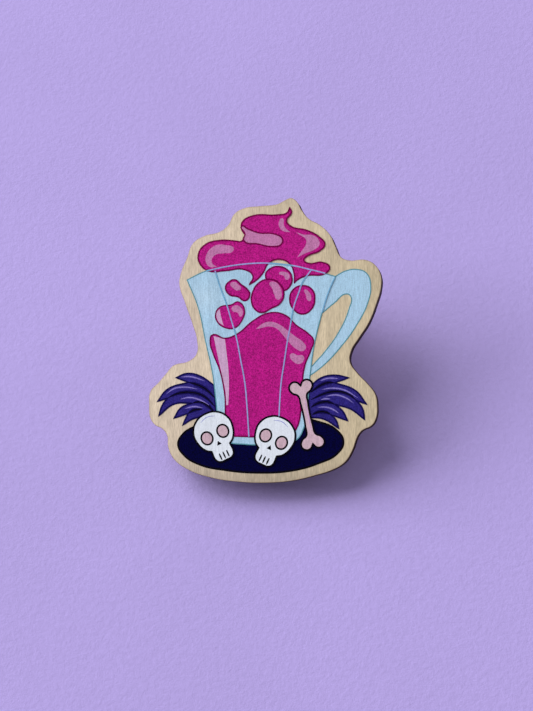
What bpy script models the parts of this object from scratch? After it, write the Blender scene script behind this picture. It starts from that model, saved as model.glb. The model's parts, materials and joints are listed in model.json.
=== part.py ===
"""Laser-cut printed wooden lapel pin with a tie-tack post and a butterfly clutch.

The board lies leaned back on its clutch: bottom edge and the two wing tips on the floor z = 0.
Board coordinates, in millimetres: u to the right, v up the board, w out of the printed face.
"""
import bmesh
import bpy
import math
from mathutils import Vector

for old in list(bpy.data.objects):
    bpy.data.objects.remove(old, do_unlink=True)

MM = 0.001

# rest pose
LEAN_DEG = 20.4
FACE_FOOT_Y = -20.25
FACE_FOOT_Z = 2.82

# plywood board
VENEER = 0.6
BOARD = 3.0
GLUE_LINE = 0.02
BOARD_STEPS = 4

# printed films: every colour field is its own cured layer, stacked in levels
INK = 0.03
INK_PITCH = 0.045
INK_START = 0.01
INK_STEPS = 5

# tack: pad, disc and post, measured back from the board's rear face
POST_U = 0.0
POST_V = 24.5
PAD_R = 4.6
PAD_NEAR = 0.02
PAD_FAR = 0.12
DISC_R = 5.0
DISC_NEAR = 0.14
DISC_FAR = 0.50
DISC_EDGE = 0.14
POST_R = 0.55
POST_NEAR = 0.52
POST_TIP = 8.0
POST_TIP_R = 0.12
POST_TAPER = 1.5
POST_FOOT_R = 1.05
POST_FOOT_FAR = 0.7
POST_FILLET_FAR = 1.0
POST_GROOVE_R = 0.42
POST_GROOVE_NEAR = 4.3
POST_GROOVE_FAR = 4.9
POST_GROOVE_FLARE = 0.2

# clutch, measured back from the board's rear face
CUP_FACE = 1.9
CUP_HOLE_R = 0.8
CUP_GAUGE = 0.42
CUP_FLANGE_R = 5.7
FLANGE_CURL = 1.0
FLANGE_CURL_GAUGE = 0.35
FLANGE_ROUND = 0.3
CROWN_R = 4.0
CROWN_FLARE = 0.1
CROWN_ROOT = 0.3
CROWN_ROOT_RISE = 0.6
LIP_R = 3.1
LIP_TOP = 4.9
LIP_GAUGE = 0.3
LIP_ROUND = 0.35
PLATE_R = 3.3
PLATE_NEAR = 2.36
PLATE_FAR = 2.66
WING_HINGE_U = 2.4
WING_HINGE_H = 5.2
WING_GAUGE = 0.3
WING_HALF_WIDTH = 2.9
WING_TRIM = 0.2
WING_STEPS = 3

ROUND_STEPS = 32
POST_STEPS = 20
PRISM_SPAN = 20.0
WELD = 0.0000001

# outlines: (u, v), a third value marks a sharp corner
BOARD_EDGE = [
    (3.9, 42.2), (4.8, 41.6), (5.4, 40.5), (6.5, 39.1), (8.2, 38.1), (9.7, 36.6), (10.5, 34.9),
    (11.3, 33.3), (12.4, 32.8), (15.0, 32.8), (16.4, 32.0), (17.2, 30.5), (17.2, 28.6), (16.6, 26.5),
    (15.4, 23.5), (13.9, 21.2), (12.8, 19.4), (12.6, 17.8), (13.6, 16.2), (15.2, 14.5), (16.3, 13.0),
    (16.6, 11.3), (16.4, 9.4), (15.8, 8.4), (14.3, 7.6), (13.7, 6.8), (12.9, 4.7), (11.8, 3.0),
    (10.0, 1.9), (7.5, 1.1), (4.0, 0.3), (0.0, 0.0), (-4.0, 0.15), (-8.0, 0.75), (-11.6, 2.0),
    (-13.7, 3.6), (-14.5, 5.3), (-14.7, 7.1), (-15.4, 8.0), (-16.5, 8.6), (-17.2, 9.6), (-17.4, 11.5),
    (-17.2, 13.6), (-16.0, 14.9), (-14.8, 16.3), (-13.8, 17.4), (-11.4, 18.1), (-10.3, 19.1),
    (-10.2, 21.1), (-10.9, 23.6), (-12.0, 26.7), (-12.9, 29.6), (-12.7, 31.1), (-11.7, 33.6),
    (-10.9, 35.6), (-9.3, 36.7), (-6.7, 37.4), (-5.5, 38.4), (-4.6, 40.0), (-3.2, 40.8), (-0.5, 41.1),
    (1.9, 41.35), (3.0, 41.9),
]
TRAY = [
    (-13.0, 5.7), (-12.4, 7.1), (-10.6, 8.3), (-7.0, 9.3), (-1.0, 9.8), (4.5, 9.6), (7.8, 9.0),
    (10.5, 7.8), (11.6, 6.0), (10.7, 4.3), (8.0, 2.9), (4.0, 1.8), (-1.0, 1.5), (-6.0, 1.9),
    (-10.0, 2.8), (-12.2, 4.2),
]
GLASS = [
    (-11.7, 30.2, 1), (-8.8, 31.5), (-5.5, 32.2), (-1.3, 32.6), (3.0, 32.3), (7.0, 31.4),
    (10.5, 30.4, 1), (9.3, 27.7), (8.3, 24.4), (7.3, 20.2), (6.7, 16.0), (6.3, 11.5), (5.7, 8.0),
    (4.6, 6.3), (1.5, 5.8), (-3.0, 5.7), (-5.8, 6.3), (-6.9, 8.6), (-7.3, 12.0), (-7.9, 16.5),
    (-8.9, 21.0), (-10.0, 26.0),
]
HANDLE = [
    (10.3, 30.3, 1), (12.0, 31.2), (13.7, 31.4), (15.1, 30.8), (15.7, 29.0), (15.3, 26.6),
    (13.6, 23.2), (11.0, 19.7), (8.7, 17.3), (6.3, 15.5, 1), (6.4, 17.1, 1), (7.0, 17.2, 1),
    (9.0, 19.4), (11.1, 22.4), (12.5, 25.6), (12.8, 27.3), (12.2, 27.8), (10.3, 26.5),
    (8.5, 25.0, 1), (8.0, 25.6, 1),
]
DRINK = [
    (-7.9, 21.9), (-6.0, 21.4), (-4.2, 22.0), (-1.7, 24.0), (0.6, 25.1), (2.9, 24.8), (4.7, 23.2),
    (6.4, 22.0), (7.2, 21.0), (6.8, 19.5), (5.9, 17.2), (5.4, 13.0), (5.0, 8.8), (4.2, 7.2, 1),
    (1.0, 6.8), (-4.7, 6.9, 1), (-5.7, 9.0), (-6.0, 13.0), (-6.7, 16.5), (-7.8, 19.3),
    (-8.2, 20.9),
]
SWIRL = [
    (3.7, 40.7, 1), (3.95, 40.1), (3.2, 38.8), (3.8, 38.0), (6.3, 37.3), (8.2, 36.2), (8.9, 35.2),
    (8.2, 34.3), (6.3, 33.5), (5.8, 32.9), (6.5, 32.4), (8.6, 32.5), (9.6, 31.8), (9.0, 30.9),
    (6.3, 30.6), (5.0, 30.1), (4.4, 29.6, 1), (4.35, 31.0), (3.7, 32.4), (2.0, 33.1), (0.5, 32.5),
    (-0.3, 31.1), (-1.2, 30.1), (-2.3, 29.4, 1), (-1.8, 30.6), (-3.0, 31.6), (-6.0, 31.5),
    (-8.4, 31.5), (-9.7, 32.5), (-10.0, 34.0), (-9.0, 35.4), (-7.0, 36.0), (-3.6, 35.8, 1),
    (-2.9, 36.4), (-3.5, 37.7), (-3.4, 38.7), (-1.9, 39.6), (1.9, 39.7), (3.3, 40.0),
]
FOLD = [
    (-3.5, 38.1), (-3.0, 36.9), (-3.2, 36.0), (-1.0, 35.4), (1.1, 35.0), (2.4, 35.3), (2.6, 36.1),
    (1.6, 36.8), (-1.0, 37.1), (-2.6, 37.7),
]
PLUME_LEFT = [
    (-13.3, 15.6, 1), (-11.8, 16.2), (-9.9, 15.9), (-7.6, 14.4, 1), (-7.3, 9.6, 1), (-10.4, 9.6),
    (-12.3, 8.6, 1), (-11.5, 10.3, 1), (-13.6, 9.6, 1), (-12.6, 11.1), (-10.9, 11.8, 1),
    (-13.6, 11.7), (-15.9, 10.0, 1), (-15.4, 11.5), (-14.6, 12.6, 1), (-16.1, 12.1, 1),
    (-14.6, 13.9), (-11.4, 14.9, 1),
]
PLUME_RIGHT = [
    (12.4, 15.4, 1), (10.3, 15.8), (8.3, 15.4), (6.6, 14.0, 1), (6.3, 9.6, 1), (8.6, 9.4),
    (10.9, 8.0, 1), (10.5, 9.2), (9.8, 10.0, 1), (12.2, 9.1, 1), (11.5, 10.5), (10.4, 11.5, 1),
    (12.7, 10.8), (14.7, 9.3, 1), (14.4, 10.9), (13.5, 12.1, 1), (15.0, 11.5, 1), (13.4, 13.5),
    (10.3, 14.7, 1),
]
# a skull and a bone in their own frames, x across and y up; halves start and end on the middle line
SKULL_HALF = [
    (0.0, 3.1), (1.7, 2.65), (2.85, 1.2), (2.9, -0.4), (2.2, -1.9), (1.5, -2.4, 1), (1.45, -3.8),
    (1.0, -4.3), (0.0, -4.4),
]
SKULL_LEFT_AT = (-7.6, 7.4)
SKULL_RIGHT_AT = (1.4, 6.7)
SKULL_TURN = 25
BONE_QUARTER = [
    (0.0, 4.4, 1), (0.5, 5.0), (1.3, 5.0), (1.75, 4.3), (1.4, 3.5), (0.7, 3.0), (0.55, 1.8),
]
BONE_AT = (6.2, 10.0)
BONE_TURN = 12
BUBBLE_LARGE = [
    (-1.9, 28.0), (-0.9, 29.6), (0.7, 30.1), (2.1, 29.5), (2.8, 28.0), (2.3, 26.6), (0.9, 25.8),
    (-0.5, 25.2), (-1.5, 25.7), (-2.0, 26.8),
]
BUBBLE_TOP = [
    (0.1, 30.8), (0.8, 31.7), (2.0, 32.0), (3.3, 31.5), (4.0, 30.4), (3.6, 28.9), (2.6, 28.4),
    (1.0, 29.2),
]
BUBBLE_BEAN = [
    (-5.9, 29.0), (-5.4, 29.8), (-4.5, 30.1), (-3.6, 29.4), (-2.6, 28.6), (-2.3, 27.9), (-2.9, 27.0),
    (-4.1, 27.6), (-5.3, 27.9),
]
BUBBLE_LOW = [
    (-7.4, 25.0), (-6.8, 26.0), (-5.0, 26.4), (-4.0, 26.8), (-3.1, 25.7), (-3.5, 24.0), (-4.6, 22.95),
    (-6.2, 23.1), (-7.2, 24.0),
]
BUBBLE_RIGHT = [
    (3.7, 27.1), (4.2, 28.5), (5.6, 29.1), (7.0, 28.5), (7.4, 27.0), (6.9, 25.6), (5.6, 24.9),
    (4.2, 25.7),
]
WING_RIBBON = [
    (0.78, 3.3), (0.78, 4.5), (1.3, 5.2), (2.4, 5.35), (4.4, 5.5), (5.9, 6.1), (6.8, 7.1), (7.15, 8.15),
]
WING_PLAN = [
    (0.4, 1.4, 1), (3.2, 1.4), (4.3, 2.5), (5.8, 2.9), (7.0, 2.5), (7.6, 1.5), (7.6, -1.5),
    (7.0, -2.5), (5.8, -2.9), (4.3, -2.5), (3.2, -1.4), (0.4, -1.4, 1),
]

# collections and finishes
pin = bpy.data.collections.new("wooden_lapel_pin")
cutters = bpy.data.collections.new("cutters")
bpy.context.scene.collection.children.link(pin)
bpy.context.scene.collection.children.link(cutters)


def finish(name, colour, roughness, metallic=0.0):
    mat = bpy.data.materials.new(name)
    mat.use_nodes = True
    shader = mat.node_tree.nodes["Principled BSDF"]
    shader.inputs["Base Color"].default_value = (*colour, 1.0)
    shader.inputs["Roughness"].default_value = roughness
    shader.inputs["Metallic"].default_value = metallic
    return mat


MAPLE = (0.61, 0.51, 0.39)
CORE = (0.20, 0.12, 0.07)
NAVY = (0.003, 0.003, 0.03)
INDIGO = (0.03, 0.02, 0.19)
SKY = (0.36, 0.58, 0.75)
MAGENTA = (0.42, 0.012, 0.2)
ROSE = (0.48, 0.19, 0.39)
CHALK = (0.73, 0.78, 0.86)
SHELL = (0.53, 0.37, 0.43)
FOAM = (0.8, 0.8, 0.78)
NICKEL = (0.66, 0.64, 0.6)


def adopt(obj, parent, mat):
    pin.objects.link(obj)
    obj.parent = parent
    obj.data.materials.append(mat)
    return obj


def empty(name, parent=None):
    node = bpy.data.objects.new(name, None)
    pin.objects.link(node)
    node.parent = parent
    return node


def outline_curve(name, points, half, steps, smooth=True):
    data = bpy.data.curves.new(name, "CURVE")
    data.dimensions = "2D"
    data.fill_mode = "BOTH"
    data.extrude = half * MM
    data.resolution_u = steps
    spline = data.splines.new("BEZIER")
    spline.bezier_points.add(len(points) - 1)
    spline.use_cyclic_u = True
    for knot, point in zip(spline.bezier_points, points):
        knot.co = Vector((point[0], point[1], 0.0)) * MM
        corner = len(point) > 2 or not smooth
        knot.handle_left_type = "VECTOR" if corner else "AUTO"
        knot.handle_right_type = "VECTOR" if corner else "AUTO"
    return data


def mirrored(half):
    """A closed outline from its right half, which starts and ends on the middle line."""
    return half + [(-x, *rest) for x, *rest in half[-2:0:-1]]


def placed(points, at, turn):
    """An outline turned anticlockwise by turn degrees about its own origin, then moved."""
    cos = math.cos(math.radians(turn))
    sin = math.sin(math.radians(turn))
    return [(at[0] + cos * x - sin * y, at[1] + sin * x + cos * y, *corner) for x, y, *corner in points]


def board_layer(name, w_low, w_high, colour, roughness):
    data = outline_curve(name, BOARD_EDGE, (w_high - w_low) / 2, BOARD_STEPS)
    obj = adopt(bpy.data.objects.new(name, data), board, finish(name, colour, roughness))
    obj.location = Vector((0.0, 0.0, (w_high + w_low) / 2)) * MM
    return obj


def film(name, points, level, colour):
    data = outline_curve(name, points, INK / 2, INK_STEPS)
    obj = adopt(bpy.data.objects.new(name, data), board, finish(name, colour, 0.45))
    obj.location = Vector((0.0, 0.0, INK_START + level * INK_PITCH + INK / 2)) * MM
    return obj


def turned(name, profile, parent, colour, roughness, metallic, steps):
    """Closed (radius, height) profile turned about the parent's local Z."""
    mesh = bpy.data.meshes.new(name)
    count = len(profile)
    verts = [(r * MM, 0.0, h * MM) for r, h in profile]
    edges = [(i, (i + 1) % count) for i in range(count)]
    if profile[0][0] == 0.0:
        edges = edges[:-1]
    mesh.from_pydata(verts, edges, [])
    obj = adopt(bpy.data.objects.new(name, mesh), parent, finish(name, colour, roughness, metallic))
    spin = obj.modifiers.new("turn", "SCREW")
    spin.axis = "Z"
    spin.angle = math.tau
    spin.steps = steps
    spin.render_steps = steps
    spin.use_merge_vertices = True
    spin.merge_threshold = 0.000001
    spin.use_smooth_shade = True
    return obj


def welded_mesh(name, data):
    """A curve turned into a closed mesh that a Boolean can use."""
    holder = bpy.data.objects.new(name + "_curve", data)
    mesh = bpy.data.meshes.new_from_object(holder)
    bpy.data.objects.remove(holder, do_unlink=True)
    bm = bmesh.new()
    bm.from_mesh(mesh)
    bmesh.ops.remove_doubles(bm, verts=bm.verts, dist=WELD)
    bmesh.ops.recalc_face_normals(bm, faces=bm.faces)
    bm.to_mesh(mesh)
    bm.free()
    mesh.name = name
    return mesh


def ribbon_outline(path, gauge):
    """Both sides of a strip of even gauge that follows an open path."""
    left = []
    right = []
    last = len(path) - 1
    for i, point in enumerate(path):
        before = Vector(path[max(i - 1, 0)])
        after = Vector(path[min(i + 1, last)])
        along = (after - before).normalized()
        side = Vector((-along.y, along.x)) * gauge / 2
        here = Vector(point)
        left.append(tuple(here + side))
        right.append(tuple(here - side))
    return left + right[::-1]


# board frame: local X = u, local Y = v, local Z = w
board = empty("board_frame")
board.rotation_euler = (math.radians(LEAN_DEG), 0.0, 0.0)
board.location = Vector((0.0, FACE_FOOT_Y, FACE_FOOT_Z)) * MM

board_layer("front_veneer", -VENEER, 0.0, MAPLE, 0.6)
board_layer("core_ply", -BOARD + VENEER + GLUE_LINE, -VENEER - GLUE_LINE, CORE, 0.8)
board_layer("back_veneer", -BOARD, -BOARD + VENEER, MAPLE, 0.6)

film("ink_tray", TRAY, 0, NAVY)
film("ink_handle", HANDLE, 0, SKY)
film("ink_plume_left", PLUME_LEFT, 1, INDIGO)
film("ink_plume_right", PLUME_RIGHT, 1, INDIGO)
film("ink_glass", GLASS, 2, SKY)
film("ink_drink", DRINK, 3, MAGENTA)
film("ink_swirl", SWIRL, 3, MAGENTA)
film("ink_bubble_top", BUBBLE_TOP, 3, MAGENTA)
film("ink_bubble_bean", BUBBLE_BEAN, 3, MAGENTA)
film("ink_bubble_low", BUBBLE_LOW, 3, MAGENTA)
film("ink_bubble_right", BUBBLE_RIGHT, 3, MAGENTA)
film("ink_bubble_large", BUBBLE_LARGE, 4, MAGENTA)
film("ink_fold", FOLD, 4, ROSE)
skull = mirrored(SKULL_HALF)
film("ink_skull_left", placed(skull, SKULL_LEFT_AT, SKULL_TURN), 4, CHALK)
film("ink_skull_right", placed(skull, SKULL_RIGHT_AT, -SKULL_TURN), 4, CHALK)
bone = mirrored(BONE_QUARTER + [(x, -y, *corner) for x, y, *corner in reversed(BONE_QUARTER)])
film("ink_bone", placed(bone, BONE_AT, BONE_TURN), 4, SHELL)

# tack frame: origin on the board's rear face under the post, local Z straight back
tack = empty("tack_frame", board)
tack.location = Vector((POST_U, POST_V, -BOARD)) * MM
tack.rotation_euler = (math.pi, 0.0, 0.0)

turned("adhesive_pad", [
    (0.0, PAD_FAR), (PAD_R, PAD_FAR), (PAD_R, PAD_NEAR), (0.0, PAD_NEAR),
], tack, FOAM, 0.9, 0.0, ROUND_STEPS)
turned("tack_disc", [
    (0.0, DISC_FAR), (DISC_R - DISC_EDGE, DISC_FAR), (DISC_R, DISC_FAR - DISC_EDGE),
    (DISC_R, DISC_NEAR), (0.0, DISC_NEAR),
], tack, NICKEL, 0.3, 1.0, ROUND_STEPS)
turned("tack_post", [
    (0.0, POST_TIP), (POST_TIP_R, POST_TIP - POST_TIP_R), (POST_R, POST_TIP - POST_TAPER),
    (POST_R, POST_GROOVE_FAR + POST_GROOVE_FLARE), (POST_GROOVE_R, POST_GROOVE_FAR),
    (POST_GROOVE_R, POST_GROOVE_NEAR), (POST_R, POST_GROOVE_NEAR - POST_GROOVE_FLARE),
    (POST_R, POST_FILLET_FAR), (POST_FOOT_R, POST_FOOT_FAR), (POST_FOOT_R, POST_NEAR),
    (0.0, POST_NEAR),
], tack, NICKEL, 0.25, 1.0, POST_STEPS)

# clutch: slides and turns on the post
clutch = empty("clutch_frame", tack)
turned("clutch_cup", [
    (CUP_HOLE_R, CUP_FACE), (CUP_HOLE_R, CUP_FACE + CUP_GAUGE),
    (CROWN_R - CUP_GAUGE, CUP_FACE + CUP_GAUGE), (CROWN_R - CUP_GAUGE, LIP_TOP - LIP_GAUGE),
    (LIP_R, LIP_TOP - LIP_GAUGE), (LIP_R, LIP_TOP), (CROWN_R - LIP_ROUND, LIP_TOP),
    (CROWN_R, LIP_TOP - LIP_ROUND), (CROWN_R + CROWN_FLARE, CUP_FACE + CROWN_ROOT_RISE),
    (CROWN_R + CROWN_ROOT, CUP_FACE + CUP_GAUGE),
    (CUP_FLANGE_R - FLANGE_CURL_GAUGE, CUP_FACE + CUP_GAUGE),
    (CUP_FLANGE_R - FLANGE_CURL_GAUGE, CUP_FACE + FLANGE_CURL),
    (CUP_FLANGE_R, CUP_FACE + FLANGE_CURL), (CUP_FLANGE_R, CUP_FACE + FLANGE_ROUND),
    (CUP_FLANGE_R - FLANGE_ROUND, CUP_FACE),
], clutch, NICKEL, 0.3, 1.0, ROUND_STEPS)
spring = empty("spring_frame", clutch)
turned("spring_plate", [
    (CUP_HOLE_R, PLATE_NEAR), (CUP_HOLE_R, PLATE_FAR), (PLATE_R, PLATE_FAR), (PLATE_R, PLATE_NEAR),
], spring, NICKEL, 0.35, 1.0, ROUND_STEPS)


def wing(name, side):
    """One wing: a bent ribbon trimmed to its plan shape, origin on its hinge line."""
    pivot = empty(name + "_frame", spring)
    pivot.location = Vector((side * WING_HINGE_U, 0.0, WING_HINGE_H)) * MM
    path = [(side * (u - WING_HINGE_U), h - WING_HINGE_H) for u, h in WING_RIBBON]
    strip = outline_curve(name, ribbon_outline(path, WING_GAUGE), WING_HALF_WIDTH + WING_TRIM, 1, False)
    mesh = welded_mesh(name, strip)
    for vert in mesh.vertices:
        x, y, z = vert.co
        vert.co = (x, -z, y)
    obj = adopt(bpy.data.objects.new(name, mesh), pivot, finish(name, NICKEL, 0.3, 1.0))
    plan = [(side * (p[0] - WING_HINGE_U), *p[1:]) for p in WING_PLAN]
    trim_mesh = welded_mesh(name + "_plan", outline_curve(name, plan, PRISM_SPAN / 2, WING_STEPS))
    trim = bpy.data.objects.new(name + "_plan", trim_mesh)
    cutters.objects.link(trim)
    trim.parent = pivot
    trim.hide_render = True
    trim.display_type = "WIRE"
    cut = obj.modifiers.new("plan", "BOOLEAN")
    cut.operation = "INTERSECT"
    cut.solver = "EXACT"
    cut.object = trim
    return obj


wing("wing_left", -1)
wing("wing_right", 1)
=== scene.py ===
"""Looks of the printed wooden pin: maple ply, raised print, nickel-plated tack and clutch."""
import bmesh
import bpy
import json
import math
import numpy as np
from mathutils import Matrix, Vector
from mathutils.geometry import tessellate_polygon


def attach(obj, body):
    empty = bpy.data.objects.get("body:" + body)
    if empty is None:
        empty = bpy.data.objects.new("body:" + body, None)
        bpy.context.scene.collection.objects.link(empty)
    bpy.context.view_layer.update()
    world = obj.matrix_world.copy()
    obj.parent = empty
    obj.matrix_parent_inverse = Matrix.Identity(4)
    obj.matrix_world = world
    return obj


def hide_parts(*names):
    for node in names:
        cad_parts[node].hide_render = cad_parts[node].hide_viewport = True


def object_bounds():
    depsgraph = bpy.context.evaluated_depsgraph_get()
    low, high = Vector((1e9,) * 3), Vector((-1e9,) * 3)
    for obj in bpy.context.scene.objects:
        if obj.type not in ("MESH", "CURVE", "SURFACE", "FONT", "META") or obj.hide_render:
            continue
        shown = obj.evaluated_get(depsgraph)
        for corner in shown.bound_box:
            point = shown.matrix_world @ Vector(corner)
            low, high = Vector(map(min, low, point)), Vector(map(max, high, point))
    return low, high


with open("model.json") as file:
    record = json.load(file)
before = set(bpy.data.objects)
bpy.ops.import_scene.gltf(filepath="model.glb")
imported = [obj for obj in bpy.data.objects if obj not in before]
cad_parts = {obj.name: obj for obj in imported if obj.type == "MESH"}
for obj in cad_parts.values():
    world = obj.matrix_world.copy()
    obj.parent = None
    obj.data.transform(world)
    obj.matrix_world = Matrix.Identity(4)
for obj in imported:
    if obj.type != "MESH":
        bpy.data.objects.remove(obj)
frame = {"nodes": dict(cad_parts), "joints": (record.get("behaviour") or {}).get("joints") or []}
cad_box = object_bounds()
nodes = frame["nodes"]
joints = {joint["name"]: joint for joint in frame["joints"]}

MM = 0.001

# ---------------------------------------------------------------- board coordinates, in millimetres
# u right, v up the board, w out of the printed face; the clutch's axis gives the way back
POST_V = 24.5
BACK = Vector(joints["clutch_slide"]["axis"])
OUT = -BACK
RIGHT = Vector((1.0, 0.0, 0.0))
UP = OUT.cross(RIGHT)
LEAN = math.atan2(UP.z, UP.y)
FACE = max(vert.co.dot(OUT) for vert in nodes["front_veneer"].data.vertices)
ORIGIN = Vector(joints["clutch_turn"]["pos_m"]) - POST_V * MM * UP
ORIGIN += (FACE - ORIGIN.dot(OUT)) * OUT
BOARD_TURN = (-LEAN, 0.0, 0.0)


def place(u, v, w=0.0):
    """A point in board millimetres, in the row frame."""
    return ORIGIN + (float(u) * RIGHT + float(v) * UP + float(w) * OUT) * MM


def board_point(point):
    """A row-frame point as (u, v, w) in board millimetres."""
    offset = (Vector(point) - ORIGIN) / MM
    return offset.dot(RIGHT), offset.dot(UP), offset.dot(OUT)


def span(node):
    """A node's lowest and highest w, in board millimetres."""
    heights = [board_point(vert.co)[2] for vert in nodes[node].data.vertices]
    return min(heights), max(heights)


REAR = span("back_veneer")[0]
BOARD_ORIGIN = {"X": ORIGIN.dot(RIGHT) / MM, "Y": ORIGIN.dot(UP) / MM}

# ---------------------------------------------------------------- materials


def srgb(red, green, blue):
    """0-255 screen values as a linear colour."""
    shares = [part / 255 for part in (red, green, blue)]
    return tuple(x / 12.92 if x <= 0.04045 else ((x + 0.055) / 1.055) ** 2.4 for x in shares)


class Shader:
    """One material, with short ways to add and link its nodes."""

    def __init__(self, name, roughness, metallic=0.0, specular=0.5):
        self.mat = bpy.data.materials.new(name)
        self.mat.use_nodes = True
        self.tree = self.mat.node_tree
        self.out = self.tree.nodes["Principled BSDF"]
        self.out.inputs["Roughness"].default_value = roughness
        self.out.inputs["Metallic"].default_value = metallic
        self.out.inputs["Specular IOR Level"].default_value = specular

    def add(self, kind, **settings):
        node = self.tree.nodes.new(kind)
        for key, value in settings.items():
            setattr(node, key, value)
        return node

    def put(self, socket, value):
        """Links a socket to another, or sets its number or colour."""
        if isinstance(value, bpy.types.NodeSocket):
            self.tree.links.new(value, socket)
        elif isinstance(value, tuple) and socket.type == "RGBA":
            socket.default_value = (*value, 1.0)
        else:
            socket.default_value = value

    def coords(self, scale):
        """Board coordinates in millimetres, stretched by scale."""
        source = self.add("ShaderNodeTexCoord")
        turned = self.add("ShaderNodeMapping")
        turned.inputs["Rotation"].default_value = BOARD_TURN
        turned.inputs["Scale"].default_value = (1 / MM, 1 / MM, 1 / MM)
        self.put(turned.inputs["Vector"], source.outputs["Object"])
        stretched = self.add("ShaderNodeMapping")
        stretched.inputs["Scale"].default_value = scale
        self.put(stretched.inputs["Vector"], turned.outputs["Vector"])
        return stretched.outputs["Vector"]

    def noise(self, scale, detail=2.0, roughness=0.5):
        """Noise around 0.5; scale is in features a millimetre along u, v and w."""
        node = self.add("ShaderNodeTexNoise")
        self.put(node.inputs["Vector"], self.coords(scale))
        node.inputs["Scale"].default_value = 1.0
        node.inputs["Detail"].default_value = detail
        node.inputs["Roughness"].default_value = roughness
        return node.outputs["Fac"]

    def ramp(self, value, low, high, out_low=0.0, out_high=1.0):
        node = self.add("ShaderNodeMapRange")
        self.put(node.inputs["Value"], value)
        for name, number in zip(("From Min", "From Max", "To Min", "To Max"), (low, high, out_low, out_high)):
            node.inputs[name].default_value = number
        return node.outputs["Result"]

    def mix(self, share, first, second, blend="MIX"):
        node = self.add("ShaderNodeMix", data_type="RGBA", blend_type=blend)
        self.put(node.inputs[0], share)
        self.put(node.inputs[6], first)
        self.put(node.inputs[7], second)
        return node.outputs[2]

    def math(self, operation, first, second):
        node = self.add("ShaderNodeMath", operation=operation)
        self.put(node.inputs[0], first)
        self.put(node.inputs[1], second)
        return node.outputs[0]

    def attribute(self, name):
        return self.add("ShaderNodeAttribute", attribute_name=name).outputs["Fac"]

    def along(self, axis, low, high):
        """0 to 1 as a board coordinate, X for u or Y for v, runs from low to high millimetres."""
        split = self.add("ShaderNodeSeparateXYZ")
        self.put(split.inputs[0], self.coords((1.0, 1.0, 1.0)))
        offset = BOARD_ORIGIN[axis]
        return self.ramp(split.outputs[axis], low + offset, high + offset)

    def glow(self, u, v, radius):
        """1 at a board point, fading to 0 at radius millimetres from it."""
        node = self.add("ShaderNodeVectorMath", operation="DISTANCE")
        self.put(node.inputs[0], self.coords((1.0, 1.0, 0.0)))
        node.inputs[1].default_value = (BOARD_ORIGIN["X"] + u, BOARD_ORIGIN["Y"] + v, 0.0)
        return self.ramp(node.outputs["Value"], radius, 0.0)

    def shade(self, colour, value, low, high, depth):
        """A colour made darker and lighter by depth as value runs from low to high."""
        return self.mix(1.0, colour, self.ramp(value, low, high, 1 - depth, 1 + depth), "MULTIPLY")

    def bump(self, height, distance, strength=1.0):
        node = self.add("ShaderNodeBump")
        self.put(node.inputs["Height"], height)
        node.inputs["Distance"].default_value = distance
        node.inputs["Strength"].default_value = strength
        self.put(self.out.inputs["Normal"], node.outputs["Normal"])

    def colour(self, value):
        self.put(self.out.inputs["Base Color"], value)

    def rough(self, value):
        self.put(self.out.inputs["Roughness"], value)


PORES = (6.5, 0.7, 6.5)
STREAKS = (1.6, 0.1, 1.6)
CLOUDS = (0.25, 0.12, 0.25)
SPECKLE = (6.2, 5.8, 6.2)
CHAR = srgb(30, 19, 18)
CHAR_BROWN = srgb(88, 58, 42)
TOAST = srgb(120, 88, 60)
# multiplies the maple darker towards the board's bottom edge
LOW_DARKENING = srgb(216, 216, 218)


def veneer_material(name, pale, warm):
    """Sanded maple: pores and streaks up the board, darker towards the bottom, scorched where it was cut."""
    shader = Shader(name, 0.65, specular=0.2)
    pores = shader.noise(PORES, 3.0, 0.7)
    # painted light: the left side made paler and cooler where the light and the paper's reflected lilac fall,
    # the right side warmer
    wood = shader.mix(shader.along("X", -12.0, 14.0), pale, warm)
    wood = shader.shade(wood, shader.noise(STREAKS, 2.0), 0.36, 0.64, 0.07)
    wood = shader.shade(wood, pores, 0.36, 0.64, 0.17)
    wood = shader.shade(wood, shader.noise(CLOUDS, 2.0), 0.35, 0.65, 0.06)
    # darker towards the bottom of the board, fading out by 4.5 mm up
    wood = shader.mix(shader.ramp(shader.along("Y", 0.5, 4.5), 0.0, 1.0, 0.85, 0.0), wood, LOW_DARKENING, "MULTIPLY")
    soot = shader.noise((3.0, 3.0, 0.6), 3.0)
    charred = shader.mix(shader.ramp(soot, 0.38, 0.62), CHAR, CHAR_BROWN)
    scorch = shader.attribute("scorch")
    wood = shader.mix(shader.ramp(scorch, 0.0, 0.5), wood, TOAST)
    shader.colour(shader.mix(shader.ramp(scorch, 0.5, 0.9), wood, charred))
    shader.bump(pores, 0.00003, 0.6)
    return shader.mat


def core_material():
    """The charred laser-cut edge: layers across it and beam marks through it."""
    shader = Shader("charred_core", 0.75, specular=0.2)
    layers = shader.noise((0.2, 0.2, 3.0), 1.0)
    beam = shader.noise((6.0, 6.0, 0.3), 2.0)
    soot = shader.mix(shader.ramp(layers, 0.4, 0.6), CHAR, CHAR_BROWN)
    shader.colour(shader.mix(shader.ramp(beam, 0.35, 0.65, 0.0, 0.7), soot, CHAR))
    shader.bump(beam, 0.00012, 0.7)
    return shader.mat


def ink_material(name, colour, depth, grain=0.09, shine=None):
    """Cured print: a fine speckle, with the wood's grain showing through it."""
    shader = Shader(name, 0.5, specular=0.03)
    speckle = shader.noise(SPECKLE, 1.0, 0.6)
    pores = shader.noise(PORES, 3.0, 0.7)
    streaks = shader.noise(STREAKS, 2.0)
    if shine:
        colour_here = shader.mix(shader.ramp(shader.glow(*shine), 0.0, 1.0, 0.0, SHINE_SHARE), colour, WHITE)
    else:
        colour_here = colour
    tone = shader.shade(colour_here, speckle, 0.34, 0.66, depth)
    tone = shader.shade(tone, pores, 0.36, 0.64, grain)
    shader.colour(shader.shade(tone, streaks, 0.35, 0.65, grain / 2))
    shader.bump(shader.math("ADD", pores, speckle), 0.00003, 0.5)
    return shader.mat


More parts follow.
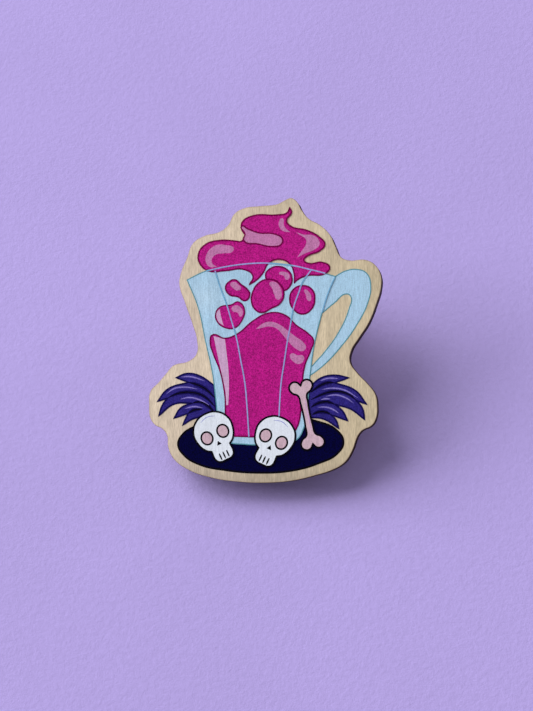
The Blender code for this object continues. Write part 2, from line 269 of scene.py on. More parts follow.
def nickel_material(name, scratches, roughness):
    """Plated stamping: fine scratches along one way and a soft, uneven tarnish."""
    shader = Shader(name, roughness, metallic=1.0)
    scratch = shader.noise(scratches, 3.0, 0.6)
    tarnish = shader.noise((0.35, 0.35, 0.35), 3.0)
    plate = shader.mix(shader.ramp(tarnish, 0.35, 0.68), srgb(222, 218, 210), srgb(184, 177, 166))
    shader.colour(shader.shade(plate, scratch, 0.35, 0.65, 0.05))
    shader.rough(shader.ramp(scratch, 0.3, 0.7, roughness - 0.07, roughness + 0.12))
    shader.bump(scratch, 0.00002, 0.5)
    return shader.mat


def foam_material():
    """Closed-cell foam tape."""
    shader = Shader("foam_cells", 0.95, specular=0.2)
    cells = shader.noise((5.0, 5.0, 5.0), 3.0, 0.7)
    shader.colour(shader.mix(shader.ramp(cells, 0.3, 0.7), srgb(208, 205, 197), srgb(240, 239, 234)))
    shader.bump(cells, 0.0001, 0.8)
    return shader.mat


def paper_material():
    """Matt coloured paper with a fine tooth and faint clouds."""
    shader = Shader("lilac_paper", 0.9, specular=0.1)
    fibre = shader.noise((1.3, 1.3, 1.3), 4.0, 0.7)
    cloud = shader.noise((0.03, 0.03, 0.03), 2.0)
    tone = shader.shade(LILAC, fibre, 0.3, 0.7, 0.035)
    shader.colour(shader.shade(tone, cloud, 0.35, 0.65, 0.02))
    shader.bump(fibre, 0.0002, 0.35)
    return shader.mat


LILAC = srgb(165, 150, 206)
WHITE = (0.9, 0.93, 0.96)
GLASS_SHINE = (-9.0, 27.5, 3.6)
SHINE_SHARE = 0.15
INK = {
    "navy": ink_material("ink_navy", srgb(3, 2, 50), 0.6),
    "indigo": ink_material("ink_indigo", srgb(47, 39, 122), 0.3),
    "midnight": ink_material("ink_midnight", srgb(20, 14, 76), 0.3),
    "iris": ink_material("ink_iris", srgb(76, 66, 150), 0.25),
    "violet": ink_material("ink_violet", srgb(142, 130, 198), 0.15),
    "sky": ink_material("ink_sky", srgb(173, 209, 232), 0.08, 0.11, GLASS_SHINE),
    "teal": ink_material("ink_teal", srgb(92, 150, 164), 0.1),
    "azure": ink_material("ink_azure", srgb(118, 172, 208), 0.1),
    "magenta": ink_material("ink_magenta", srgb(183, 28, 130), 0.34),
    "maroon": ink_material("ink_maroon", srgb(118, 0, 72), 0.25),
    "rose": ink_material("ink_rose", srgb(194, 124, 172), 0.16),
    "blush": ink_material("ink_blush", srgb(208, 168, 204), 0.1),
    "lavender": ink_material("ink_lavender", srgb(156, 160, 216), 0.1),
    "chalk": ink_material("ink_chalk", srgb(229, 236, 245), 0.05, 0.06),
    "shell": ink_material("ink_shell", srgb(208, 178, 190), 0.08),
    "black": ink_material("ink_black", srgb(9, 6, 15), 0.4),
}
# each maple's two tones are painted light: paler and cooler on the lit left side, warmer on the right
FRONT_MAPLE = veneer_material("maple_front", srgb(219, 202, 178), srgb(207, 191, 158))
BACK_MAPLE = veneer_material("maple_rear", srgb(214, 194, 166), srgb(206, 186, 154))
CHARRED = core_material()
FOAM = foam_material()
NICKEL = nickel_material("nickel_stamped", (0.6, 6.0, 0.6), 0.3)
POST_NICKEL = nickel_material("nickel_drawn", (6.0, 6.0, 0.6), 0.24)

# ---------------------------------------------------------------- flat shapes
SPAN_STEPS = 6
RIM_STEPS = 3
HANDLE_SHARE = 0.39
CORNER_DEG = 40
MITRE_LIMIT = 0.55
ELLIPSE_STEPS = 40
WELD = MM / 2000
FACE_SLACK = 0.005


def unit(vectors):
    """Vectors along the last axis, made one long."""
    return vectors / np.maximum(np.linalg.norm(vectors, axis=-1, keepdims=True), 1e-9)


def spline(points, closed=False, steps=SPAN_STEPS):
    """A smooth line through (u, v) points; a third value marks a corner."""
    knots = [np.array(point[:2], float) for point in points]
    count = len(knots)
    line = []
    for i in range(count if closed else count - 1):
        j = (i + 1) % count
        start, end = knots[i], knots[j]
        first = start + (end - start) / 3
        second = end - (end - start) / 3
        reach = np.linalg.norm(end - start) * HANDLE_SHARE
        if len(points[i]) == 2 and (closed or i > 0):
            first = start + unit(unit(start - knots[i - 1]) + unit(end - start)) * reach
        if len(points[j]) == 2 and (closed or j < count - 1):
            second = end - unit(unit(end - start) + unit(knots[(j + 1) % count] - end)) * reach
        for step in range(steps):
            t = step / steps
            line.append((1 - t) ** 3 * start + 3 * (1 - t) ** 2 * t * first
                        + 3 * (1 - t) * t * t * second + t ** 3 * end)
    if not closed:
        line.append(knots[-1])
    return np.array(line)


def area(line):
    """The signed area of a loop, above 0 when it runs counterclockwise."""
    ahead = np.roll(line, -1, axis=0)
    return float((line[:, 0] * ahead[:, 1] - ahead[:, 0] * line[:, 1]).sum() / 2)


def counterclockwise(line):
    return line if area(line) > 0 else line[::-1]


def ellipse(centre, tall, wide, tilt):
    """A loop with half sizes tall and wide, turned anticlockwise by tilt degrees."""
    turn = math.radians(tilt)
    angles = np.linspace(0, math.tau, ELLIPSE_STEPS, endpoint=False)
    across = wide * np.cos(angles)
    along = tall * np.sin(angles)
    return np.stack([centre[0] + across * math.cos(turn) - along * math.sin(turn),
                     centre[1] + across * math.sin(turn) + along * math.cos(turn)], axis=1)


def moved(points, at, turn):
    """Points turned anticlockwise by turn degrees about their own origin, then moved."""
    cos = math.cos(math.radians(turn))
    sin = math.sin(math.radians(turn))
    return [(at[0] + cos * x - sin * y, at[1] + sin * x + cos * y, *corner) for x, y, *corner in points]


def rim(node):
    """The outline of a CAD layer's outer face in board millimetres, its facets smoothed out."""
    bm = bmesh.new()
    bm.from_mesh(nodes[node].data)
    bmesh.ops.remove_doubles(bm, verts=bm.verts, dist=WELD)
    top = span(node)[1]
    level = top - FACE_SLACK
    outer = {face for face in bm.faces if all(board_point(v.co)[2] > level for v in face.verts)}
    ring = {}
    for edge in bm.edges:
        if sum(face in outer for face in edge.link_faces) == 1:
            for vert in edge.verts:
                ring.setdefault(vert, []).append(edge.other_vert(vert))
    loop = [next(iter(ring))]
    loop.append(ring[loop[0]][0])
    while len(loop) < len(ring):
        loop.append([vert for vert in ring[loop[-1]] if vert is not loop[-2]][0])
    line = counterclockwise(np.array([board_point(vert.co)[:2] for vert in loop]))
    bm.free()
    return spline(with_corners(line), True, RIM_STEPS)


def with_corners(line):
    """A loop's points, with a third value where it turns sharply."""
    ahead = unit(np.roll(line, -1, axis=0) - line)
    back = np.roll(ahead, 1, axis=0)
    sharp = (ahead * back).sum(axis=1) < math.cos(math.radians(CORNER_DEG))
    return [(*point, 1) if corner else tuple(point) for point, corner in zip(line, sharp)]


def inside(point, loop):
    """Whether a point lies in a loop."""
    u, v = point
    ahead = np.roll(loop, -1, axis=0)
    crosses = (loop[:, 1] > v) != (ahead[:, 1] > v)
    rise = np.where(crosses, ahead[:, 1] - loop[:, 1], 1.0)
    at = loop[:, 0] + (v - loop[:, 1]) * (ahead[:, 0] - loop[:, 0]) / rise
    return bool((crosses & (at > u)).sum() % 2)


def sideways(line, closed):
    """Left-hand normals of a line's points, stretched so that a stroke keeps its width."""
    ahead = np.roll(line, -1, axis=0) - line
    if not closed:
        ahead[-1] = ahead[-2]
    ahead = unit(ahead)
    back = np.roll(ahead, 1, axis=0)
    if not closed:
        back[0] = ahead[0]
    middle = unit(ahead + back)
    stretch = 1 / np.clip((middle * ahead).sum(axis=1), MITRE_LIMIT, 1.0)
    return np.stack([-middle[:, 1], middle[:, 0]], axis=1) * stretch[:, None]


def triangles_of(loop):
    """A loop's triangles, counterclockwise."""
    flat = [Vector((u, v, 0.0)) for u, v in loop]
    found = [list(tri) for tri in tessellate_polygon([flat])]
    return [tri if area(loop[tri]) > 0 else tri[::-1] for tri in found]


def add_object(name, verts, faces, materials, body, replaced):
    """A piece that rides on a body and stands for one CAD node."""
    mesh = bpy.data.meshes.new(name)
    mesh.from_pydata(verts, [], faces)
    for material in materials:
        mesh.materials.append(material)
    obj = bpy.data.objects.new(name, mesh)
    bpy.context.scene.collection.objects.link(obj)
    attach(obj, body)
    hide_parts(replaced)
    return obj


# ---------------------------------------------------------------- printed layers
LAYER_PITCH = 0.014
FIRST_LAYER = 0.002
FILL = (0.0, 0.006)
PATCH = (0.006, 0.0075)
SHADE_LINE = (0.0065, 0.0085)
LINE = (0.0065, 0.01)
PANEL_LEVEL = 5


class Print:
    """One printed area: its fill, lighter patches and drawn lines, a slot for each ink."""

    def __init__(self, level):
        self.base = FIRST_LAYER + level * LAYER_PITCH
        self.verts = []
        self.faces = []
        self.inks = []

    def slab(self, points, triangles, loops, ink, heights):
        """Flat triangles at two heights, joined by walls along the loops."""
        start = len(self.verts)
        count = len(points)
        for height in heights:
            self.verts += [place(u, v, self.base + height) for u, v in points]
        faces = [[start + i for i in tri[::-1]] for tri in triangles]
        faces += [[start + count + i for i in tri] for tri in triangles]
        for loop in loops:
            for i, j in zip(loop, loop[1:] + loop[:1]):
                faces.append([start + i, start + j, start + count + j, start + count + i])
        self.faces += faces
        self.inks += [ink] * len(faces)

    def fill(self, line, ink, heights=FILL):
        """An area inside a closed line."""
        line = counterclockwise(line)
        self.slab(line, triangles_of(line), [list(range(len(line)))], ink, heights)

    def stroke(self, line, width, ink, heights=LINE, closed=False, taper=0.0):
        """A drawn line, thinned towards its ends by taper."""
        count = len(line)
        along = np.linspace(-1, 1, count)
        share = 1 - taper * np.abs(along) ** 2.5
        half = (width / 2 * share)[:, None] * sideways(line, closed)
        last = count if closed else count - 1
        triangles = []
        for i in range(last):
            j = (i + 1) % count
            triangles += [[i, count + i, count + j], [i, count + j, j]]
        left = list(range(count - 1, -1, -1))
        right = list(range(count, 2 * count))
        loops = [left, right] if closed else [left + right]
        self.slab(np.concatenate([line + half, line - half]), triangles, loops, ink, heights)

    def build(self, name, node, slot):
        used = sorted(set(self.inks))
        materials = [INK[ink] for ink in used]
        obj = add_object(name, self.verts, self.faces, materials, "badge", node)
        for face, ink in zip(obj.data.polygons, self.inks):
            face.material_index = used.index(ink)
        return obj


# node: (layer, fill, outline ink, outline width)
PRINTS = {
    "ink_tray": (0, "navy", "black", 0.3),
    "ink_handle": (0, "sky", "teal", 0.16),
    "ink_plume_left": (1, "indigo", "midnight", 0.26),
    "ink_plume_right": (1, "indigo", "midnight", 0.26),
    "ink_glass": (2, "sky", "teal", 0.15),
    "ink_drink": (3, "magenta", "maroon", 0.22),
    "ink_swirl": (3, "magenta", "maroon", 0.24),
    "ink_bubble_top": (3, "magenta", "maroon", 0.24),
    "ink_bubble_bean": (3, "magenta", "maroon", 0.24),
    "ink_bubble_low": (3, "magenta", "maroon", 0.2),
    "ink_bubble_right": (3, "magenta", "maroon", 0.24),
    "ink_bubble_large": (4, "magenta", "maroon", 0.24),
    "ink_fold": (4, "rose", "maroon", 0.22),
    "ink_skull_left": (4, "chalk", "black", 0.28),
    "ink_skull_right": (4, "chalk", "black", 0.28),
    "ink_bone": (4, "shell", "black", 0.28),
}
SLOTS = {
    "navy": "ink_navy", "sky": "ink_sky", "indigo": "ink_indigo", "magenta": "ink_magenta",
    "rose": "ink_rose", "chalk": "ink_chalk", "shell": "ink_shell",
}

# lighter patches: (node, ink, outline)
PATCHES = [
    ("ink_swirl", "rose", [
        (-4.7, 34.9), (-5.8, 35.3), (-7.0, 35.4), (-8.1, 34.9), (-8.8, 33.9), (-8.9, 32.9),
        (-8.3, 32.1), (-7.2, 32.1, 1), (-7.9, 32.6), (-8.0, 33.2), (-7.4, 33.9), (-6.2, 34.1),
        (-4.9, 34.3),
    ]),
    ("ink_swirl", "rose", [
        (2.5, 39.2), (2.1, 38.7), (2.1, 38.0), (2.7, 37.3), (3.8, 37.1, 1), (3.1, 37.7), (2.8, 38.3),
        (2.8, 39.0),
    ]),
    ("ink_swirl", "rose", [
        (4.6, 37.1, 1), (5.8, 36.7), (7.1, 36.6), (8.0, 35.9), (8.1, 35.1), (7.3, 34.4), (6.0, 33.9),
        (4.8, 33.3, 1), (5.5, 34.3), (6.1, 35.2), (6.1, 36.0), (5.3, 36.6),
    ]),
    ("ink_bubble_bean", "rose", [
        (-5.2, 29.5), (-4.6, 29.8), (-3.9, 29.3), (-3.6, 28.8), (-4.1, 28.5), (-4.8, 28.9),
    ]),
    ("ink_bubble_low", "rose", [
        (-5.0, 25.9), (-4.2, 26.3), (-3.5, 25.8), (-3.3, 25.1), (-3.7, 24.6), (-4.1, 25.2),
        (-4.8, 25.4),
    ]),
    ("ink_bubble_low", "blush", [
        (-6.8, 25.8, 1), (-6.6, 24.7), (-6.2, 23.3, 1), (-6.9, 23.8), (-7.25, 24.6), (-7.2, 25.3),
    ]),
    ("ink_bubble_large", "rose", [
        (0.7, 29.6), (1.5, 29.7), (2.2, 29.0), (2.5, 28.0), (2.3, 27.2), (1.8, 27.1), (1.4, 27.8),
        (1.1, 28.7),
    ]),
    ("ink_bubble_top", "rose", [
        (2.1, 31.0), (2.9, 31.2), (3.6, 30.8), (3.6, 30.2), (3.2, 30.0), (2.8, 30.6),
    ]),
    ("ink_drink", "rose", [
        (-1.4, 22.7, 1), (-0.2, 23.6), (0.9, 23.8), (2.1, 23.4), (3.1, 22.7), (4.5, 21.6), (5.8, 20.6),
        (6.1, 19.9), (5.6, 19.4), (4.7, 19.7), (3.5, 20.8), (2.6, 21.9), (1.7, 22.8), (0.6, 23.1),
        (-0.5, 22.9),
    ]),
    ("ink_drink", "rose", [
        (3.7, 18.8), (4.1, 19.1), (4.8, 18.8), (5.7, 18.7), (5.7, 17.9), (5.0, 17.5), (4.3, 17.8),
    ]),
    ("ink_drink", "blush", [
        (-7.7, 21.75, 1), (-6.0, 21.3, 1), (-5.75, 19.3), (-5.45, 16.5), (-5.4, 13.2), (-5.5, 11.5, 1),
        (-5.8, 11.5, 1), (-5.9, 13.4), (-6.4, 15.8), (-7.1, 18.9),
    ]),
    ("ink_bubble_right", "rose", [
        (5.9, 28.5), (6.6, 28.1), (6.9, 27.3), (6.7, 26.8), (6.3, 27.0), (6.1, 27.7),
    ]),
]

# skulls: (node, centre, turn); their details are in the skull's own frame, jaw down
SKULLS = [
    ("ink_skull_left", (-7.6, 7.4), 25),
    ("ink_skull_right", (1.4, 6.7), -25),
]
SOCKET_ACROSS = 1.3
SOCKET_DOWN = -0.3
SOCKET_TALL = 0.95
SOCKET_WIDE = 0.85
NOSE = [(0.0, -1.3, 1), (0.38, -1.95, 1), (-0.38, -1.95, 1)]
TEETH = [[(across, -3.1), (across, -4.15)] for across in (-0.6, 0.0, 0.6)]
BROW = [(-1.2, 2.2), (0.0, 2.55), (1.2, 2.2)]
SOCKET_LINE = 0.26
BONE_AT = (6.2, 10.0)
BONE_TURN = 12
BONE_LINE = [(0.22, 2.4), (0.18, 0.0), (0.22, -2.4)]
MARK_WIDTH = 0.24

# plume strands: the gaps between them and the light on each, drawn as a thin line over a wider one
GAP_SHADE = 0.6
GAP_LINE = 0.2
LIGHT_SHADE = 0.36
LIGHT_LINE = 0.15
PLUME_GAPS = [
    ("ink_plume_left", [(-11.4, 14.9), (-10.3, 14.6), (-8.9, 13.9), (-7.4, 12.5)]),
    ("ink_plume_left", [(-14.6, 12.6), (-12.9, 13.3), (-10.9, 13.4), (-9.1, 12.8), (-7.4, 11.2)]),
    ("ink_plume_left", [(-10.9, 11.8), (-9.7, 12.0), (-8.5, 11.4), (-7.4, 10.2)]),
    ("ink_plume_left", [(-11.5, 10.3), (-10.6, 10.8), (-9.4, 10.9)]),
    ("ink_plume_right", [(10.3, 14.7), (9.3, 14.7), (8.2, 14.3), (6.8, 13.3)]),
    ("ink_plume_right", [(13.5, 12.1), (12.2, 13.1), (10.5, 13.4), (8.8, 13.1), (6.8, 12.2)]),
    ("ink_plume_right", [(10.4, 11.5), (9.2, 11.9), (7.9, 11.7), (6.8, 11.1)]),
    ("ink_plume_right", [(9.8, 10.0), (8.9, 10.4), (7.9, 10.4), (7.0, 10.0)]),
]
PLUME_LIGHTS = [
    ("ink_plume_left", [(-12.6, 15.7), (-11.2, 15.75), (-9.0, 15.1)]),
    ("ink_plume_left", [(-14.8, 13.2), (-13.6, 14.0), (-12.0, 14.2), (-10.1, 13.9)]),
    ("ink_plume_left", [(-12.7, 12.4), (-11.3, 12.65), (-9.8, 12.3), (-8.3, 11.5)]),
    ("ink_plume_left", [(-12.0, 11.0), (-10.7, 11.3), (-9.3, 11.1)]),
    ("ink_plume_right", [(8.2, 15.0), (9.3, 15.35), (10.9, 15.3)]),
    ("ink_plume_right", [(8.4, 13.7), (10.0, 13.9), (11.8, 13.6), (13.8, 12.4)]),
    ("ink_plume_right", [(9.0, 12.7), (10.5, 12.9), (11.9, 12.5), (13.1, 11.7)]),
    ("ink_plume_right", [(8.3, 12.2), (9.0, 12.35), (9.7, 12.3)]),
    ("ink_plume_right", [(7.8, 11.1), (9.1, 11.1), (10.2, 10.7), (10.9, 10.2)]),
]

# the glass's own drawn lines, over everything inside it
PANELS = [
    (0.2, [(-7.5, 31.5), (-6.7, 29.0), (-5.8, 26.6), (-4.9, 23.6), (-4.4, 22.0), (-3.7, 18.5), (-3.0, 14.7),
           (-2.7, 11.5), (-2.4, 6.8)]),
    (0.2, [(6.9, 31.4), (6.2, 30.5), (5.6, 29.6), (5.0, 28.0), (4.3, 26.0), (3.75, 23.1), (3.3, 20.7),
           (2.85, 17.7), (2.4, 14.7), (2.15, 11.1), (2.1, 9.8)]),
    (0.2, [(-8.8, 31.5), (-5.5, 32.15), (-1.3, 32.55), (0.8, 32.5), (4.2, 32.1), (6.7, 31.5), (9.0, 30.9)]),
    (0.17, [(10.4, 30.3), (9.9, 29.2), (9.3, 27.7), (8.75, 26.0), (8.5, 25.1)]),
]


def paint(node, print_of):
    """Fill and outline of one printed area."""
    layer, fill, line, width = PRINTS[node]
    made = Print(layer)
    made.fill(rims[node], fill)
    made.stroke(rims[node], width, line, closed=True)
    print_of[node] = made


def add_marks(print_of):
    for node, ink, points in PATCHES:
        print_of[node].fill(spline(points, True), ink, PATCH)
    for node, centre, turn in SKULLS:
        add_skull(print_of[node], centre, turn)
    print_of["ink_bone"].stroke(spline(moved(BONE_LINE, BONE_AT, BONE_TURN)), MARK_WIDTH, "blush", taper=0.8)


def add_skull(skull, centre, turn):
    """Sockets, nose, teeth and a brow line, all the same either side of the middle."""
    for across in (-SOCKET_ACROSS, SOCKET_ACROSS):
        eye = moved([(across, SOCKET_DOWN)], centre, turn)[0]
        loop = ellipse(eye, SOCKET_TALL, SOCKET_WIDE, turn)
        skull.fill(loop, "shell", PATCH)
        skull.stroke(loop, SOCKET_LINE, "black", closed=True)
    skull.fill(spline(moved(NOSE, centre, turn), True), "black", PATCH)
    for line in TEETH:
        skull.stroke(spline(moved(line, centre, turn)), MARK_WIDTH, "black", taper=0.5)
    skull.stroke(spline(moved(BROW, centre, turn)), MARK_WIDTH / 2, "lavender", taper=0.8)


def add_strands(print_of):
    for node, points in PLUME_GAPS:
        line = spline(points)
        print_of[node].stroke(line, GAP_SHADE, "midnight", PATCH, taper=0.9)
        print_of[node].stroke(line, GAP_LINE, "black", taper=0.6)
    for node, points in PLUME_LIGHTS:
        line = spline(points)
        print_of[node].stroke(line, LIGHT_SHADE, "iris", SHADE_LINE, taper=0.9)
        print_of[node].stroke(line, LIGHT_LINE, "violet", taper=0.9)


def add_panels(glass):
    """Panel lines take the paler ink where they pass over the magenta."""
    lift = (PANEL_LEVEL - PRINTS["ink_glass"][0]) * LAYER_PITCH
    heights = (lift, lift + LINE[1] - LINE[0])
    magenta = [rims[node] for node in PRINTS if PRINTS[node][1] == "magenta"]
    for width, points in PANELS:
        line = spline(points)
        over = [any(inside(point, loop) for loop in magenta) for point in line]
        start = 0
        for i in range(1, len(line)):
            if i == len(line) - 1 or over[i] != over[start]:
                ink = "lavender" if over[start] else "azure"
                glass.stroke(line[start:i + 1], width, ink, heights)
                start = i


rims = {node: rim(node) for node in PRINTS}
prints = {}
for printed in PRINTS:
    paint(printed, prints)
add_marks(prints)
add_strands(prints)
add_panels(prints["ink_glass"])
for printed, sheet in prints.items():
    sheet.build(printed.replace("ink_", "print_"), printed, SLOTS[PRINTS[printed][1]])

# ---------------------------------------------------------------- plywood
EDGE_ROUND = 0.06
EDGE_INSET = 0.005


def ply(name, node, material, outward, rings):
    """One ply: rings of (inset, depth from the outer face, scorch) around a flat face."""
    loop = rim(node)
    low, high = span(node)
    side = sideways(loop, True)
    count = len(loop)
    verts = []
    scorch = []
    for inset, depth, burnt in rings:
        level = high - depth if outward else low + depth
        verts += [place(u, v, level) for u, v in loop + side * inset]
        scorch += [burnt] * count
    faces = []
    for k in range(len(rings) - 1):
        for i in range(count):
            j = (i + 1) % count
            faces.append([k * count + i, (k + 1) * count + i, (k + 1) * count + j, k * count + j])
    first = triangles_of(loop + side * rings[0][0])
    last = (len(rings) - 1) * count
    faces += first
    faces += [[last + i for i in tri[::-1]] for tri in first]
    if not outward:
        faces = [face[::-1] for face in faces]
    obj = add_object(name, verts, faces, [material], "badge", node)
    layer = obj.data.attributes.new("scorch", "FLOAT", "POINT")
    layer.data.foreach_set("value", scorch)
    return obj


VENEER = span("front_veneer")[1] - span("front_veneer")[0]
CORE = span("core_ply")[1] - span("core_ply")[0]
VENEER_RINGS = [
    (0.22, 0.0, 0.0), (EDGE_ROUND, 0.0, 0.12), (0.02, 0.015, 0.5), (EDGE_INSET, EDGE_ROUND, 1.0),
    (EDGE_INSET, VENEER - 0.02, 1.0), (0.02, VENEER, 1.0),
]
CORE_RINGS = [
    (0.03, 0.0, 1.0), (EDGE_INSET, 0.03, 1.0), (EDGE_INSET, CORE * 0.3, 1.0), (0.015, CORE * 0.5, 1.0),
    (EDGE_INSET, CORE * 0.7, 1.0), (EDGE_INSET, CORE - 0.03, 1.0), (0.03, CORE, 1.0),
]
ply("ply_front", "front_veneer", FRONT_MAPLE, True, VENEER_RINGS)
ply("ply_core", "core_ply", CHARRED, True, CORE_RINGS)
ply("ply_back", "back_veneer", BACK_MAPLE, False, VENEER_RINGS)

# ---------------------------------------------------------------- tack and clutch
# profiles run round the post's axis as (radius, height behind the board), a third value rounds a corner
TURN_STEPS = 96
FILLET_STEPS = 4
SMOOTH_DEG = 32

PAD = [(0.0, 0.12), (4.6, 0.12, 0.03), (4.6, 0.02, 0.03), (0.0, 0.02)]
DISC = [(0.0, 0.5), (4.86, 0.5, 0.12), (5.0, 0.36, 0.1), (5.0, 0.14, 0.04), (0.0, 0.14)]
POST = [
    (0.0, 8.0), (0.12, 7.88, 0.1), (0.55, 6.5, 0.4), (0.55, 5.1, 0.08), (0.42, 4.9, 0.08),
    (0.42, 4.3, 0.08), (0.55, 4.1, 0.08), (0.55, 1.0, 0.25), (1.05, 0.7, 0.1), (1.05, 0.52), (0.0, 0.52),
]
CUP = [
    (0.8, 1.9, 0.08), (0.8, 2.32, 0.08), (3.58, 2.32, 0.25), (3.58, 4.6, 0.2), (3.1, 4.6, 0.08),
    (3.1, 4.9, 0.08), (3.65, 4.9, 0.25), (4.0, 4.55, 0.25), (4.1, 2.5, 0.15), (4.3, 2.32, 0.15),
    (5.35, 2.32, 0.12), (5.35, 2.9, 0.1), (5.7, 2.9, 0.12), (5.7, 2.2, 0.2), (5.4, 1.9, 0.2),
]
PLATE = [(0.8, 2.36, 0.04), (0.8, 2.66, 0.04), (3.3, 2.66, 0.08), (3.3, 2.36, 0.08)]


def behind(x, y, height):
    """A point beside the post, height behind the board's rear face."""
    return place(x, POST_V + y, REAR - height)


def rounded(profile, closed):
    """A profile with its marked corners rounded."""
    points = []
    count = len(profile)
    for i, corner in enumerate(profile):
        here = np.array(corner[:2], float)
        if len(corner) < 3 or (not closed and i in (0, count - 1)):
            points.append(here)
            continue
        before = np.array(profile[i - 1][:2], float) - here
        after = np.array(profile[(i + 1) % count][:2], float) - here
        reach = min(corner[2], 0.45 * np.linalg.norm(before), 0.45 * np.linalg.norm(after))
        start = here + unit(before) * reach
        end = here + unit(after) * reach
        for t in np.linspace(0, 1, FILLET_STEPS):
            points.append((1 - t) ** 2 * start + 2 * t * (1 - t) * here + t * t * end)
    return points


def turned(name, node, profile, body, material, slot):
    """A profile turned about the post's axis; one that starts on the axis stays open there."""
    closed = profile[0][0] > 0
    points = rounded(profile, closed)
    bm = bmesh.new()
    rings = []
    for radius, height in points:
        if radius == 0:
            rings.append([bm.verts.new(behind(0, 0, height))] * TURN_STEPS)
            continue
        angles = [math.tau * step / TURN_STEPS for step in range(TURN_STEPS)]
        around = [(radius * math.cos(angle), radius * math.sin(angle)) for angle in angles]
        rings.append([bm.verts.new(behind(x, y, height)) for x, y in around])
    for k in range(len(rings) if closed else len(rings) - 1):
        near = rings[k]
        far = rings[(k + 1) % len(rings)]
        for i in range(TURN_STEPS):
            j = (i + 1) % TURN_STEPS
            corners = list(dict.fromkeys([near[i], near[j], far[j], far[i]]))
            if len(corners) > 2:
                bm.faces.new(corners)
    return finish(name, node, bm, body, material)


def finish(name, node, bm, body, material):
    """A bmesh as a smooth piece with its normals outwards."""
    bmesh.ops.recalc_face_normals(bm, faces=bm.faces)
    obj = add_object(name, [], [], [material], body, node)
    bm.to_mesh(obj.data)
    bm.free()
    obj.data.shade_smooth()
    obj.data.set_sharp_from_angle(angle=math.radians(SMOOTH_DEG))
    return obj


WING_PATH = [
    (0.78, 3.3), (0.78, 4.5), (1.3, 5.2), (2.4, 5.35), (4.4, 5.5), (5.9, 6.1), (6.8, 7.1), (7.15, 8.15),
]
WING_U = (0.4, 3.2, 3.8, 4.3, 5.0, 5.8, 6.5, 7.0, 7.3)
WING_HALF = (1.4, 1.4, 1.9, 2.4, 2.75, 2.85, 2.75, 2.45, 2.05)
WING_GAUGE = 0.29
WING_EDGE = 0.09


def wing(name, node, side, body):
    """A stamped strip with rounded edges, bent along its path and widened to a finger tab."""
    path = spline(WING_PATH)
    normals = sideways(path, False)
    bm = bmesh.new()
    rings = []
    for (u, height), normal in zip(path, normals):
        half = float(np.interp(u, WING_U, WING_HALF))
        section = []
        for across, up in wing_section(half):
            at = np.array([u, height]) + normal * up
            section.append(bm.verts.new(behind(side * at[0], across, at[1])))
        rings.append(section)
    count = len(rings[0])
    for near, far in zip(rings, rings[1:]):
        for i in range(count):
            j = (i + 1) % count
            bm.faces.new([near[i], near[j], far[j], far[i]])
    bm.faces.new(rings[0])
    bm.faces.new(rings[-1])
    return finish(name, node, bm, body, NICKEL)


def wing_section(half):
    """A strip's cross-section: flat faces with round edges."""
    points = []
    deep = WING_GAUGE / 2
    for sign_across, sign_up, turn in ((1, 1, 0), (-1, 1, 90), (-1, -1, 180), (1, -1, 270)):
        for step in range(FILLET_STEPS):
            angle = math.radians(turn + 90 * step / (FILLET_STEPS - 1))
            points.append((sign_across * (half - WING_EDGE) + WING_EDGE * math.cos(angle),
                           sign_up * (deep - WING_EDGE) + WING_EDGE * math.sin(angle)))
    return points


turned("foam_pad", "adhesive_pad", PAD, "badge", FOAM, "foam_tape")
turned("tack_disc_plate", "tack_disc", DISC, "badge", NICKEL, "nickel_plate")
turned("tack_pin", "tack_post", POST, "badge", POST_NICKEL, "nickel_plate")
turned("clutch_cap", "clutch_cup", CUP, "clutch", NICKEL, "nickel_plate")
turned("clutch_spring", "spring_plate", PLATE, "spring", NICKEL, "nickel_plate")
wing("clutch_wing_left", "wing_left", -1, "left_wing")
wing("clutch_wing_right", "wing_right", 1, "right_wing")

# ---------------------------------------------------------------- stage
# the camera in degrees and board millimetres, VIEW_TALL being what the picture's height takes in
CAMERA_RIGHT = 7.4
CAMERA_BELOW = 3.9
CAMERA_DISTANCE = 300.0
VIEW_CENTRE = (0.22, 18.8)
VIEW_TALL = 105.18
SENSOR = 36.0

# the floor and windows in metres and watts
FLOOR_HALF = 1.5
FLOOR_DROP = 0.00001
WORLD_COLOUR = (0.97, 0.94, 1.0, 1.0)
WORLD_STRENGTH = 0.38
WINDOWS = [
    ("window_high", (-1.73, 2.05, 1.88), 2.45, 109.4),
    ("window_low", (-3.05, 0.83, 0.95), 2.25, 137.5),
]


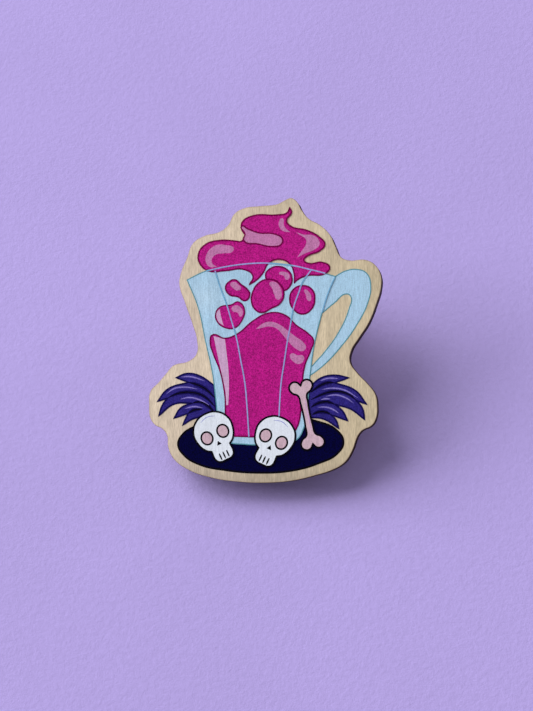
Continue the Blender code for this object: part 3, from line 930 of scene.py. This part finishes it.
def add_camera():
    """Looks almost squarely at the printed face, from a little to its right and below."""
    data = bpy.data.cameras.new("camera")
    data.sensor_width = SENSOR
    data.lens = SENSOR * CAMERA_DISTANCE / VIEW_TALL
    data.clip_start = 0.01
    data.clip_end = 10.0
    camera = bpy.data.objects.new("camera", data)
    bpy.context.scene.collection.objects.link(camera)
    away = RIGHT * math.tan(math.radians(CAMERA_RIGHT)) - UP * math.tan(math.radians(CAMERA_BELOW)) + OUT
    away.normalize()
    side = UP.cross(away).normalized()
    turn = Matrix((side, away.cross(side), away)).transposed()
    eye = place(*VIEW_CENTRE) + away * CAMERA_DISTANCE * MM
    camera.matrix_world = Matrix.Translation(eye) @ turn.to_4x4()
    bpy.context.scene.camera = camera


def add_window(name, at, size, power):
    """A large soft light that faces the pin."""
    data = bpy.data.lights.new(name, "AREA")
    data.shape = "DISK"
    data.size = size
    data.energy = power
    lamp = bpy.data.objects.new(name, data)
    bpy.context.scene.collection.objects.link(lamp)
    lamp.location = at
    lamp.rotation_mode = "QUATERNION"
    lamp.rotation_quaternion = Vector(at).to_track_quat("Z", "Y")


def add_floor():
    mesh = bpy.data.meshes.new("floor")
    level = cad_box[0].z - FLOOR_DROP
    corners = [(-FLOOR_HALF, -FLOOR_HALF), (FLOOR_HALF, -FLOOR_HALF), (FLOOR_HALF, FLOOR_HALF),
               (-FLOOR_HALF, FLOOR_HALF)]
    mesh.from_pydata([(x, y, level) for x, y in corners], [], [(0, 1, 2, 3)])
    mesh.materials.append(paper_material())
    floor = bpy.data.objects.new("floor", mesh)
    bpy.context.scene.collection.objects.link(floor)
    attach(floor, "clutch")


def add_world():
    world = bpy.data.worlds.new("studio")
    bpy.context.scene.world = world
    world.use_nodes = True
    background = world.node_tree.nodes["Background"]
    background.inputs["Color"].default_value = WORLD_COLOUR
    background.inputs["Strength"].default_value = WORLD_STRENGTH


bpy.context.scene.view_settings.view_transform = "Standard"
add_camera()
add_world()
add_floor()
for window in WINDOWS:
    add_window(*window)
